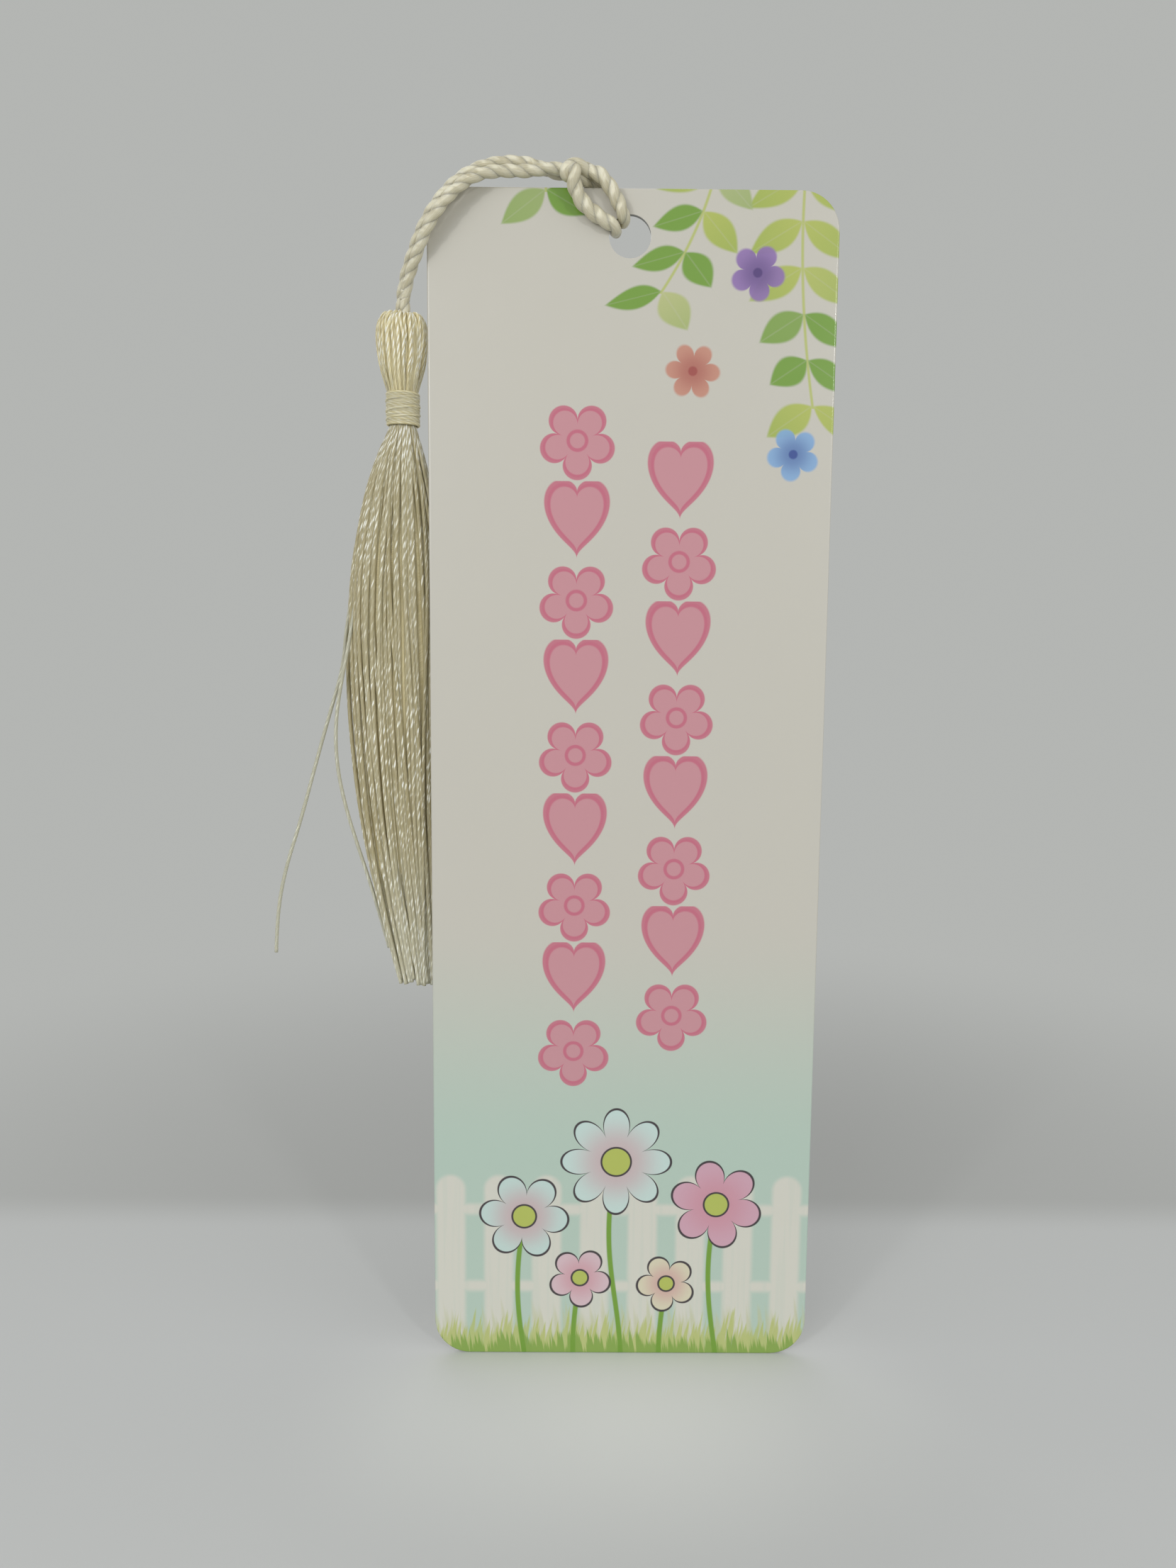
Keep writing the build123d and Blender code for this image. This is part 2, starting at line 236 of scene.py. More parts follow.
class CardSettings(bpy.types.PropertyGroup):
    """Colours of the card and its print."""

    white: colour_setting("Card white", "Plain stock", (0.575, 0.556, 0.492))
    mint: colour_setting("Mint", "Fade behind the fence", (0.45, 0.57, 0.49))
    pink: colour_setting("Pink", "Fill of the columns", (0.57, 0.23, 0.28))
    pink_edge: colour_setting("Pink edge", "Outline of the columns", (0.54, 0.14, 0.21))
    green: colour_setting("Leaf green", "Darker leaves and grass", (0.17, 0.33, 0.04))
    yellow_green: colour_setting("Yellow green", "Lighter leaves", (0.44, 0.50, 0.11))
    gloss: FloatProperty(name="Roughness", description="Roughness of the gloss face", min=0.0, max=1.0, default=0.24)


class CordSettings(bpy.types.PropertyGroup):
    """Sizes and colour of the hitched cord."""

    diameter: FloatProperty(name="Diameter", description="Thickness of the free cord", unit="LENGTH", default=1.6 * MM)
    pitch: FloatProperty(
        name="Twist pitch", description="Length of one full twist of two plies", unit="LENGTH", default=4.0 * MM
    )
    colour: colour_setting("Colour", "Cream floss", (0.69, 0.655, 0.51))
    deep: colour_setting("Deep colour", "Shade between filaments", (0.49, 0.44, 0.285))
    # glint: the colour of the highlights painted on the twist's crests
    glint: colour_setting("Glint", "Pale crests of the twist", (1.0, 0.96, 0.78))


class TasselSettings(bpy.types.PropertyGroup):
    """Sizes and colour of the tassel's yarn."""

    yarn_diameter: FloatProperty(
        name="Yarn diameter", description="Nominal thickness of one yarn", unit="LENGTH", default=0.68 * MM
    )
    pitch: FloatProperty(
        name="Twist pitch", description="Length of one full twist of its painted plies", unit="LENGTH", default=6.0 * MM
    )
    skirt_yarns: IntProperty(
        name="Skirt yarns", description="Yarns in the skirt's outer ring", min=12, max=64, default=54
    )
    head_yarns: IntProperty(name="Head yarns", description="Yarns folded over the cord", min=12, max=48, default=34)
    wrap_turns: IntProperty(name="Wrap turns", description="Turns round the neck", min=4, max=24, default=17)
    colour: colour_setting("Colour", "Cream floss", (0.515, 0.47, 0.31))
    deep: colour_setting("Deep colour", "Shade between filaments", (0.38, 0.328, 0.178))
    # glint: the colour of the highlights painted on the twist's crests
    glint: colour_setting("Glint", "Pale crests of the twist", (1.0, 0.99, 0.86))


class StageSettings(bpy.types.PropertyGroup):
    """Backdrop and light."""

    backdrop: colour_setting("Backdrop", "Pale grey behind the object", (0.455, 0.465, 0.45))
    floor: colour_setting("Floor", "Pale floor", (0.57, 0.585, 0.575))
    key: FloatProperty(name="Key light", description="Power of the key light", unit="POWER", default=1.05)


# Shader sums

class Wire:
    """One shader socket that takes part in sums."""

    def __init__(self, bench, socket):
        self.bench = bench
        self.socket = socket

    def sum(self, operation, *values):
        return self.bench.node("ShaderNodeMath", {"operation": operation}, list(values))

    def __add__(self, other):
        return self.sum("ADD", self, other)

    def __sub__(self, other):
        return self.sum("SUBTRACT", self, other)

    def __rsub__(self, other):
        return self.sum("SUBTRACT", other, self)

    def __mul__(self, other):
        return self.sum("MULTIPLY", self, other)

    def __truediv__(self, other):
        return self.sum("DIVIDE", self, other)

    def __pow__(self, other):
        return self.sum("POWER", self, other)

    def __abs__(self):
        return self.sum("ABSOLUTE", self)

    def low(self, other):
        return self.sum("MINIMUM", self, other)

    def high(self, other):
        return self.sum("MAXIMUM", self, other)

    def clamp(self):
        return self.high(0.0).low(1.0)

    def under(self, other):
        return self.sum("LESS_THAN", self, other)

    def over(self, other):
        return self.sum("GREATER_THAN", self, other)

    def floor(self):
        return self.sum("FLOOR", self)

    def root(self):
        return self.sum("SQRT", self)

    def sine(self):
        return self.sum("SINE", self)

    def cosine(self):
        return self.sum("COSINE", self)


class Bench:
    """Lays out the nodes of one material."""

    def __init__(self, name):
        self.material = bpy.data.materials.new(name)
        self.material.use_nodes = True
        self.tree = self.material.node_tree
        self.finish = self.tree.nodes["Principled BSDF"]

    def node(self, kind, settings=None, inputs=None, output=0):
        made = self.tree.nodes.new(kind)
        settings = dict(settings or {})
        stops = settings.pop("stops", None)
        for key, value in settings.items():
            setattr(made, key, value)
        if stops:
            while len(made.color_ramp.elements) < len(stops):
                made.color_ramp.elements.new(1.0)
            for element, (place, colour) in zip(made.color_ramp.elements, stops):
                element.position = place
                element.color = (*colour, 1.0)
        feeds = inputs.items() if isinstance(inputs, dict) else enumerate(inputs or [])
        for key, value in feeds:
            self.feed(made.inputs[key], value)
        return Wire(self, made.outputs[output])

    def feed(self, socket, value):
        if isinstance(value, Wire):
            self.tree.links.new(value.socket, socket)
        elif socket.type == "RGBA" and len(value) == 3:
            socket.default_value = (*value, 1.0)
        else:
            socket.default_value = value

    def split(self, vector):
        made = self.tree.nodes.new("ShaderNodeSeparateXYZ")
        self.tree.links.new(vector.socket, made.inputs[0])
        return [Wire(self, out) for out in made.outputs]

    def join(self, x, y, z):
        return self.node("ShaderNodeCombineXYZ", None, [x, y, z])

    def paint(self, share, under, over):
        """One colour over another, by a share from 0 to 1."""
        return self.node("ShaderNodeMix", {"data_type": "RGBA"}, {0: share, 6: under, 7: over}, 2)

    def ramp(self, value, start, end):
        """0 at the start and 1 at the end, with a smooth change between them."""
        return self.node(
            "ShaderNodeMapRange", {"interpolation_type": "SMOOTHSTEP"},
            {"Value": value, "From Min": start, "From Max": end, "To Min": 0.0, "To Max": 1.0},
        )

    def inside(self, distance, soft):
        """1 inside an outline and 0 outside it, with a soft edge."""
        return self.ramp(distance, soft, -soft)

    def noise(self, place, scale, detail=2.0):
        return self.node("ShaderNodeTexNoise", None, {"Vector": place, "Scale": scale, "Detail": detail})

    def bump(self, height, strength, distance):
        made = self.node("ShaderNodeBump", None, {"Height": height, "Strength": strength, "Distance": distance})
        self.feed(self.finish.inputs["Normal"], made)

    def set(self, **sockets):
        for key, value in sockets.items():
            self.feed(self.finish.inputs[key.replace("_", " ")], value)


# Print

def leaf_sprig(bench, x, z, under, look, root, heading, bend, pairs, leaf, seed):
    """A stem with pairs of leaves, painted over what lies under it."""
    turn = math.radians(heading)
    along = (x - root[0]) * math.cos(turn) + (z - root[1]) * math.sin(turn)
    across = (z - root[1]) * math.cos(turn) - (x - root[0]) * math.sin(turn) - along * along * bend
    pitch = leaf * 0.72
    cell = (along / pitch).floor()
    local = along - cell * pitch - leaf * 0.06
    side = abs(across)
    chance = bench.node(
        "ShaderNodeTexWhiteNoise", {"noise_dimensions": "3D"}, {"Vector": bench.join(cell, across.over(0.0), seed)}
    )
    lean = math.radians(57)
    out = local * math.cos(lean) + side * math.sin(lean)
    off = side * math.cos(lean) - local * math.sin(lean)
    share = (out / (chance * (leaf * 0.3) + leaf * 0.8)).clamp()
    half = share * (1.0 - share) * (share * -0.5 + 1.25) * (leaf * 0.95) - 0.15
    row = along.over(0.0) * along.under(pairs * pitch)
    blade = bench.inside(abs(off) - half, 0.22) * row
    stem = bench.inside(side - 0.17, 0.12) * along.over(0.0) * along.under((pairs - 0.85) * pitch)
    pale = tuple(0.55 * a + 0.45 * b for a, b in zip(look.yellow_green, look.white))
    tint = bench.node(
        "ShaderNodeValToRGB",
        {"stops": [
            (0.0, look.green), (0.42, look.green), (0.58, pale), (0.72, look.yellow_green), (1.0, look.yellow_green),
        ]},
        [chance],
    )
    rib = bench.inside(abs(off) - 0.06, 0.1) * 0.2
    shade = bench.paint(share * 0.35, tint, look.green)
    shade = bench.paint(rib, shade, look.white)
    under = bench.paint(stem * 0.8, under, look.yellow_green)
    return bench.paint(blade * 0.96, under, shade)


def blossom_edge(bench, x, z, centre, radius, petals, turn):
    """Distance to a blossom's outline, and to its middle."""
    aside, up = x - centre[0], z - centre[1]
    reach = (aside * aside + up * up).root()
    angle = bench.node("ShaderNodeMath", {"operation": "ARCTAN2"}, [up, aside])
    wave = abs((angle * (petals / 2) + turn).cosine())
    return reach - (wave ** 0.55 * 0.5 + 0.5) * radius, reach


def small_blossom(bench, x, z, under, centre, radius, petals, turn, colour, eye):
    """A small soft blossom with a dark eye."""
    edge, reach = blossom_edge(bench, x, z, centre, radius, petals, turn)
    petal = bench.inside(edge, 0.22)
    under = bench.paint(petal * 0.92, under, colour)
    streak = bench.inside(reach - radius * 0.55, radius * 0.4) * petal * 0.55
    under = bench.paint(streak, under, eye)
    return bench.paint(bench.inside(reach - radius * 0.17, 0.12), under, eye)


def tall_blossom(bench, x, z, under, look, centre, radius, petals, turn, colour):
    """A line-drawn blossom on a stem that stands in the grass."""
    sway = ((z - centre[1]) * 0.16).sine() * 0.9
    stalk = abs(x - centre[0] - sway)
    stem = bench.inside(stalk - 0.34, 0.1) * z.under(centre[1])
    under = bench.paint(stem, under, look.green)
    edge, reach = blossom_edge(bench, x, z, centre, radius, petals, turn)
    under = bench.paint(bench.inside(edge, 0.08), under, colour)
    blush = bench.inside(reach - radius * 0.6, radius * 0.35) * bench.inside(edge, 0.08) * 0.5
    under = bench.paint(blush, under, look.pink)
    under = bench.paint(bench.inside(abs(edge) - 0.16, 0.07), under, BLOSSOM_LINE)
    under = bench.paint(bench.inside(reach - radius * 0.27, 0.07), under, look.yellow_green)
    return bench.paint(bench.inside(abs(reach - radius * 0.27) - 0.13, 0.06), under, BLOSSOM_LINE)


def pink_columns(bench, x, z, under, look):
    """Two staggered columns of outlined hearts and blossoms."""
    pitch = 9.9
    right = x.over(-0.2)
    aside = abs(x + 0.2) - 6.5
    fall = z - 51.0 + right * (pitch / 2)
    cell = (fall / pitch).floor()
    up = fall - (cell + 0.5) * pitch
    odd = cell - (cell * 0.5).floor() * 2.0
    odd = abs(odd - right)
    size = 3.75
    wide, high = abs(aside) / size, up / size + 0.12
    lobe = high - wide.root() * 0.72
    heart = ((wide * wide + lobe * lobe).root() - 1.0) * (size * 0.85)
    flower, reach = blossom_edge(bench, aside, up, (0.0, 0.0), 4.5, 5, 0.785)
    ring = abs(reach - 1.15) - 0.22
    edge = heart + (flower - heart) * odd
    row = cell.over(right - 9.5) * cell.under(-0.5)
    fill = bench.inside(edge, 0.09) * row
    line = bench.inside(abs(edge) - 0.34, 0.1) * row
    eye = bench.inside(ring, 0.1) * odd * row
    under = bench.paint(fill * 0.85, under, look.pink)
    return bench.paint((line.high(eye)) * 0.9, under, look.pink_edge)


def garden_foot(bench, x, z, under, look):
    """The fade to mint, the picket fence and the grass at the card's foot."""
    under = bench.paint(bench.ramp(z, *MINT_FADE), under, look.mint)
    picket_pitch, picket_half, top = 6.5, 1.95, -50.6
    shifted = x + 0.4
    cell = (shifted / picket_pitch).floor()
    aside = abs(shifted - (cell + 0.5) * picket_pitch)
    rise = (z - (top - picket_half)).high(0.0)
    picket = (aside * aside + rise * rise).root() - picket_half
    rail = (abs(z + 55.4) - 0.75).low(abs(z + 66.4) - 0.75)
    fence = bench.inside(rail, 0.45).high(bench.inside(picket, 0.4))
    under = bench.paint(fence * 0.88, under, tuple(min(1.0, c * 1.16) for c in look.white))
    grain = bench.noise(bench.join(x * 1.6, z * 0.05, 3.0), 1.0, 1.0)
    under = bench.paint(fence * bench.inside(grain - 0.42, 0.1) * 0.14, under, look.mint)
    lean = x + z * 0.12
    tall = bench.noise(bench.join(lean * 1.25, 7.0, z * 0.06), 1.0, 1.5)
    mist = bench.inside(z - (tall * 17.0 - 80.0), 1.6)
    under = bench.paint(mist * 0.55, under, tuple(0.5 * a + 0.5 * b for a, b in zip(look.yellow_green, look.white)))
    other = x - z * 0.16
    short = bench.noise(bench.join(other * 2.1, 2.0, z * 0.08), 1.0, 2.0)
    blades = bench.inside(z - (short * 14.0 - 79.6), 0.7)
    under = bench.paint(blades * 0.7, under, look.yellow_green)
    low = bench.noise(bench.join(lean * 2.6, 11.0, z * 0.1), 1.0, 2.0)
    turf = bench.inside(z - (low * 9.0 - 79.0), 0.6)
    return bench.paint(turf * 0.75, under, look.green)


def card_finish(look):
    """Gloss stock with a garden print on its front."""
    bench = Bench("card_print")
    place = bench.node("ShaderNodeTexCoord", None, None, "Object")
    x, y, z = [axis * (1.0 / MM) for axis in bench.split(place)]
    mottle = bench.noise(bench.join(x, y, z), 0.12, 3.0)
    stock = bench.paint(mottle * 0.12, look.white, tuple(c * 0.9 for c in look.white))
    ink = garden_foot(bench, x, z, stock, look)
    ink = pink_columns(bench, x, z, ink, look)
    for sprig in SPRIGS:
        ink = leaf_sprig(bench, x, z, ink, look, *sprig)
    for blossom in SMALL_BLOSSOMS:
        ink = small_blossom(bench, x, z, ink, *blossom)
    for blossom in TALL_BLOSSOMS:
        ink = tall_blossom(bench, x, z, ink, look, *blossom)
    front = bench.inside(y + 0.55, 0.03)
    # The sides are painted darker than the face, and the hole's wall far darker: painted shade
    sides = y.over(-0.57) * y.under(-0.02)
    aside, up = x - HOLE_MIDDLE[0], z - HOLE_MIDDLE[1]
    hole_shade = (aside * aside + up * up).root().under(HOLE_REACH)
    edge = bench.paint(hole_shade, tuple(c * 0.8 for c in look.white), tuple(c * 0.16 for c in look.white))
    colour = bench.paint(sides, bench.paint(front, stock, ink), edge)
    smear = bench.noise(bench.join(x, y, z), 0.35, 3.0)
    bench.set(Base_Color=colour, Roughness=smear * 0.1 + (look.gloss - 0.05), Coat_Weight=0.2, Coat_Roughness=0.12)
    return bench.material


def floss_finish(
    name, look, lobes=4, filaments=4.0, roughness=0.22, relief=0.5, glints=0.95, lift=1.0, sparse=0.44, shade=1.0,
    paling=0.0, pale_from=-5.0, dense=0.0,
):
    """Silky twisted yarn: painted highlights (glints) where the crests on its chart face out, fine filaments, and a
    tint for each yarn.

    Its crests are painted lighter and its valleys darker, a painted light and shade of the twist. lift and shade set
    the tone of the yarn and of its valleys. sparse thins the painted glints and dense adds more at the tassel's ends.
    paling pales the yarn below the height pale_from, a painted light at the skirt's tips.
    """
    bench = Bench(name)
    along, around, _ = bench.split(bench.node("ShaderNodeUVMap", {"uv_map": "yarn"}))
    tint = bench.node("ShaderNodeAttribute", {"attribute_name": "tint"}, None, "Fac")
    crest = (around * (2 * math.pi * lobes)).cosine() * 0.5 + 0.5
    angle = (around + along * 0.25) * (2 * math.pi)
    lay = bench.join(angle.cosine() * filaments, angle.sine() * filaments, along * 0.55 + tint * 40.0)
    streak = bench.noise(lay, 1.0, 3.0)
    patch = bench.noise(bench.join(along * 0.7, tint * 30.0, around * lobes), 1.0, 1.0)
    # Crests lighter and valleys darker, a painted light and shade of the twist; streaks, patches and tints vary the
    # tone
    share = (crest - 0.5) * 0.4 + (streak - 0.5) * 1.8 + (patch - 0.5) * 1.0 + (tint - 0.5) * 0.5 + 0.5
    deep = tuple(min(1.0, c * lift * shade) for c in look.deep)
    colour = tuple(min(1.0, c * lift) for c in look.colour)
    base = bench.paint(share.clamp(), deep, colour)
    # Glints: highlights painted near-white where the crests face out, in patches, thinned by sparse and denser at the
    # ends
    facing = bench.node("ShaderNodeAttribute", {"attribute_name": "facing"}, None, "Fac")
    dash = ((crest - 0.45) * 4.0).clamp() * ((facing - 0.7) * 8.0).clamp()
    place = bench.node("ShaderNodeTexCoord", None, None, "Object")
    zone = ((bench.noise(place, 80.0, 1.0) - 0.32) * 6.0).high(0.5).low(1.0)
    height = bench.split(place)[2] * (1.0 / MM)
    bright = ((height - DENSE_ABOVE) * DENSE_RAMP).high((height - DENSE_BELOW) * -DENSE_RAMP).clamp()
    lack = sparse - bright * dense
    glint = dash * zone * ((patch - lack) * 7.0).clamp()
    base = bench.paint(glint * glints, base, look.glint)
    # Paler below pale_from: on the skirt, a painted light through its tips
    if paling:
        ends = ((pale_from - height) * PALE_RAMP).clamp()
        base = bench.paint(ends * paling, base, PALE_TONE)
    bench.set(Base_Color=base, Roughness=(1.0 - streak) * 0.2 + roughness, Specular_IOR_Level=0.5)
    bench.set(Anisotropic=0.9, Anisotropic_Rotation=0.25)
    bench.set(Subsurface_Weight=0.45, Subsurface_Radius=(1.0, 0.92, 0.7), Subsurface_Scale=0.45 * MM)
    bench.bump(streak, relief, 0.06 * MM)
    return bench.material


# Yarn

def deselect():
    """Nothing is selected, so that an operator acts only on the piece at hand."""
    if bpy.context.object and bpy.context.object.mode != "OBJECT":
        bpy.ops.object.mode_set(mode="OBJECT")
    bpy.ops.object.select_all(action="DESELECT")


def take(piece):
    """Selects one piece and makes it the active one."""
    deselect()
    piece.select_set(True)
    bpy.context.view_layer.objects.active = piece


def straight_yarn(name, diameter, pitch, length, steps, corners, plies):
    """A straight yarn up the Z axis, two plies or one plain strand: its section, turned and raised by one screw."""
    deselect()
    radius = diameter / 2
    if plies:
        ply = radius * PLY_SHARE
        bpy.ops.mesh.primitive_circle_add(vertices=corners, radius=ply, location=(radius - ply, 0, 0))
        yarn = bpy.context.object
        bpy.ops.object.transform_apply(location=True)
        bpy.ops.object.mode_set(mode="EDIT")
        bpy.ops.mesh.select_all(action="SELECT")
        bpy.ops.mesh.duplicate()
        bpy.ops.transform.resize(value=(-1, -1, 1), center_override=(0, 0, 0))
        bpy.ops.object.mode_set(mode="OBJECT")
    else:
        bpy.ops.mesh.primitive_circle_add(vertices=corners, radius=radius * STRAND_SHARE)
        yarn = bpy.context.object
    yarn.name = name
    section = len(yarn.data.vertices)
    screw = yarn.modifiers.new("twist", "SCREW")
    screw.axis = "Z"
    screw.angle = 2 * math.pi
    screw.screw_offset = pitch
    screw.iterations = math.ceil(length / pitch)
    screw.steps = screw.render_steps = steps
    screw.use_smooth_shade = True
    bpy.ops.object.modifier_apply(modifier="twist")
    bpy.ops.object.mode_set(mode="EDIT")
    bpy.ops.mesh.select_all(action="DESELECT")
    bpy.ops.mesh.select_non_manifold()
    bpy.ops.mesh.fill_holes(sides=0)
    bpy.ops.mesh.select_all(action="SELECT")
    bpy.ops.mesh.normals_make_consistent(inside=False)
    bpy.ops.object.mode_set(mode="OBJECT")
    mesh = yarn.data
    chart = mesh.uv_layers.new(name="yarn")
    loop_round = section // 2 if plies else section
    crest = max(range(loop_round), key=lambda i: mesh.vertices[i].co.x) if plies else 0
    for face in mesh.polygons:
        places = [(mesh.loops[i].vertex_index - crest) % loop_round for i in face.loop_indices]
        wraps = max(places) - min(places) > loop_round / 2
        for i, place in zip(face.loop_indices, places):
            turn = place + loop_round if wraps and place < loop_round / 2 else place
            chart.data[i].uv = (mesh.vertices[mesh.loops[i].vertex_index].co.z / MM, turn / loop_round)
    mesh.attributes.new("tint", "FLOAT", "POINT")
    mesh.attributes.new("facing", "FLOAT", "POINT")
    yarn["length"] = screw_length(mesh)
    return yarn


def screw_length(mesh):
    """Height of a straight yarn."""
    heights = [vertex.co.z for vertex in mesh.vertices]
    return max(heights) - min(heights)


def route(name, points, shares=None):
    """A smooth line with these points, in millimetres, as its control points."""
    data = bpy.data.curves.new(name, "CURVE")
    data.dimensions = "3D"
    line = data.splines.new("NURBS")
    line.points.add(len(points) - 1)
    for i, (knot, point) in enumerate(zip(line.points, points)):
        knot.co = (*(Vector(point) * MM), 1.0)
        knot.radius = shares[i] if shares else 1.0
    line.order_u = 3
    line.use_endpoint_u = True
    data.resolution_u = 10
    path = bpy.data.objects.new(name, data)
    bpy.context.collection.objects.link(path)
    return path


def route_points(path):
    """Points read from a route's own line."""
    mesh = bpy.data.meshes.new_from_object(path)
    points = [tuple(vertex.co) for vertex in mesh.vertices]
    bpy.data.meshes.remove(mesh)
    return points


def lay_yarn(yarn, path, tint, turn=0.0):
    """A copy of a straight yarn, drawn to a route's length and laid along it."""
    piece = yarn.copy()
    piece.data = yarn.data.copy()
    bpy.context.collection.objects.link(piece)
    length = path.data.splines[0].calc_length()
    piece.data.transform(Matrix.Rotation(turn, 4, "Z") @ Matrix.Diagonal((1, 1, length / yarn["length"], 1)))
    piece.data.attributes["tint"].data.foreach_set("value", [tint] * len(piece.data.vertices))
    take(piece)
    bend = piece.modifiers.new("lay", "CURVE")
    bend.object = path
    bend.deform_axis = "POS_Z"
    bpy.ops.object.modifier_apply(modifier="lay")
    return piece


def face_out(piece, outward):
    """Marks how far each point faces the way outward gives at its place in millimetres, where painted glints go."""
    shares = [vertex.normal.dot(outward(vertex.co / MM).normalized()) for vertex in piece.data.vertices]
    piece.data.attributes["facing"].data.foreach_set("value", shares)
    return piece


def gather(pieces, name, finish):
    """Joins laid yarns into one named piece with its finish."""
    deselect()
    for piece in pieces:
        piece.select_set(True)
    bpy.context.view_layer.objects.active = pieces[0]
    if len(pieces) > 1:
        bpy.ops.object.join()
    whole = bpy.context.view_layer.objects.active
    whole.name = whole.data.name = name
    whole.data.materials.clear()
    whole.data.materials.append(finish)
    return whole


def packed_core(name, rings, finish):
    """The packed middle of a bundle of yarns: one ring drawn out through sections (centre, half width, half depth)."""
    deselect()
    x, y, z, wide, deep = rings[0]
    bpy.ops.mesh.primitive_circle_add(vertices=48, radius=wide * MM, location=(x * MM, y * MM, z * MM))
    core = bpy.context.object
    bpy.ops.object.transform_apply(location=True)
    bpy.ops.object.mode_set(mode="EDIT")
    bpy.ops.mesh.select_all(action="SELECT")
    bpy.ops.transform.resize(value=(1, deep / wide, 1), center_override=(x * MM, y * MM, z * MM))
    for last, ring in zip(rings, rings[1:]):
        step = tuple((b - a) * MM for a, b in zip(last[:3], ring[:3]))
        bpy.ops.mesh.extrude_edges_move(TRANSFORM_OT_translate={"value": step})
        bpy.ops.transform.resize(
            value=(ring[3] / last[3], ring[4] / last[4], 1), center_override=tuple(c * MM for c in ring[:3])
        )
    bpy.ops.mesh.select_all(action="DESELECT")
    bpy.ops.mesh.select_non_manifold()
    bpy.ops.mesh.fill_holes(sides=0)
    bpy.ops.mesh.select_all(action="SELECT")
    bpy.ops.mesh.normals_make_consistent(inside=False)
    bpy.ops.object.mode_set(mode="OBJECT")
    bpy.ops.object.shade_smooth()
    core.name = core.data.name = name
    chart = core.data.uv_layers.new(name="yarn")
    for i, loop in enumerate(core.data.loops):
        at = core.data.vertices[loop.vertex_index].co
        chart.data[i].uv = (at.z / MM, math.atan2(at.y - y * MM, at.x - x * MM) * 2)
    core.data.attributes.new("tint", "FLOAT", "POINT")
    core.data.materials.append(finish)
    return core


def drop(*spent):
    """Removes what only helped to make a piece."""
    for thing in spent:
        bpy.data.objects.remove(thing)


# Operators

class BOOKMARK_OT_card(bpy.types.Operator):
    """Prints the card's front and gives its stock a gloss finish"""

    bl_idname = "bookmark.card"
    bl_label = "Card"

    def execute(self, context):
        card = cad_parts["card"]
        card.data.materials.clear()
        card.data.materials.append(card_finish(context.scene.bookmark_card))
        return {"FINISHED"}


class BOOKMARK_OT_cord(bpy.types.Operator):
    """Lays the doubled cord through its hitch and down to the tassel"""

    bl_idname = "bookmark.cord"
    bl_label = "Cord"

    def execute(self, context):
        look = context.scene.bookmark_cord
        finish = floss_finish("cord_floss", look, lobes=1, filaments=9.0, relief=1.0, glints=0.5, sparse=0.38)
        points = FRONT_LEG_ROUTE[::-1] + HITCH_ROUTE[::-1] + BACK_LEG_ROUTE
        shares = LEG_FULLNESS[::-1] + HITCH_FULLNESS[::-1] + LEG_FULLNESS
        path = route("cord_route", points, shares)
        length = path.data.splines[0].calc_length()
        rope = straight_yarn("rope", look.diameter, look.pitch, length, steps=20, corners=14, plies=True)
        cord = gather([face_out(lay_yarn(rope, path, 0.5), lambda at: CORD_FRONT)], "hitched_cord", finish)
        line = route_points(path)
        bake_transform(cord)
        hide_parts("cord_hitch", "cord_leg_back", "cord_leg_front")
        bend = route("knot_route", KNOT_ROUTE, [KNOT_FULLNESS] * len(KNOT_ROUTE))
        loop_length = bend.data.splines[0].calc_length()
        loop_rope = straight_yarn("loop_rope", look.diameter, look.pitch, loop_length, steps=20, corners=14, plies=True)
        knot = gather([face_out(lay_yarn(loop_rope, bend, 0.45), lambda at: CORD_FRONT)], "cord_loop", finish)
        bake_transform(knot)
        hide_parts("cord_knot")
        drop(path, bend, rope, loop_rope)
        return {"FINISHED"}


class BOOKMARK_OT_head(bpy.types.Operator):
    """Folds yarns over the cord to make the tassel's head"""

    bl_idname = "bookmark.head"
    bl_label = "Tassel head"

    def execute(self, context):
        look = context.scene.bookmark_tassel
        # The head is painted lighter than the skirt, a painted light on its crown, with more glints and darker painted
        # valleys
        finish = floss_finish("head_floss_painted_light", look, glints=1.0, lift=1.72, sparse=0.25, shade=0.78)
        middle = (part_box("cord_knot")[0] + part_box("cord_knot")[1]) / 2 / MM
        thick = look.yarn_diameter * HEAD_YARN_SHARE
        yarn = straight_yarn("head_yarn", thick, look.pitch, HEAD_YARN_LENGTH * MM, steps=16, corners=8, plies=False)
        chance = random.Random(4)
        laid, spent = [], []
        for i in range(look.head_yarns):
            angle = 2 * math.pi * (i + chance.uniform(-0.12, 0.12)) / look.head_yarns
            slant = chance.uniform(-0.45, 0.45)
            stand = chance.uniform(-0.28, 0.14)
            rise = chance.uniform(-0.4, 0.15)
            points, shares = [], []
            for j, (radius, height, share) in enumerate(HEAD_PROFILE):
                way = j / (len(HEAD_PROFILE) - 1)
                at = angle + slant * (way - 0.4) + chance.uniform(-0.07, 0.07) * math.sin(math.pi * way)
                reach = radius + stand * math.sin(math.pi * way)
                points.append((
                    middle.x + reach * math.cos(at),
                    middle.y + reach * math.sin(at),
                    height + rise * math.sin(math.pi * min(1.0, way * 2)),
                ))
                shares.append(share)
            path = route("fold", points, shares)
            folded = lay_yarn(yarn, path, chance.random(), chance.uniform(0, math.pi))
            laid.append(face_out(folded, lambda at: Vector((at.x - middle.x, at.y - middle.y, at.z - HEAD_MIDDLE))))
            spent.append(path)
        head = gather(laid, "tassel_head_yarns", finish)
        rings = []
        for radius, height, _ in HEAD_PROFILE:
            inner = radius - HEAD_CORE_INSET
            rings.append((middle.x, middle.y, height - HEAD_CORE_DROP, inner, inner))
        for piece in (head, packed_core("tassel_head_core", rings, finish)):
            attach(piece, "tassel")
            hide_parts("tassel_head")
        drop(yarn, *spent)
        return {"FINISHED"}


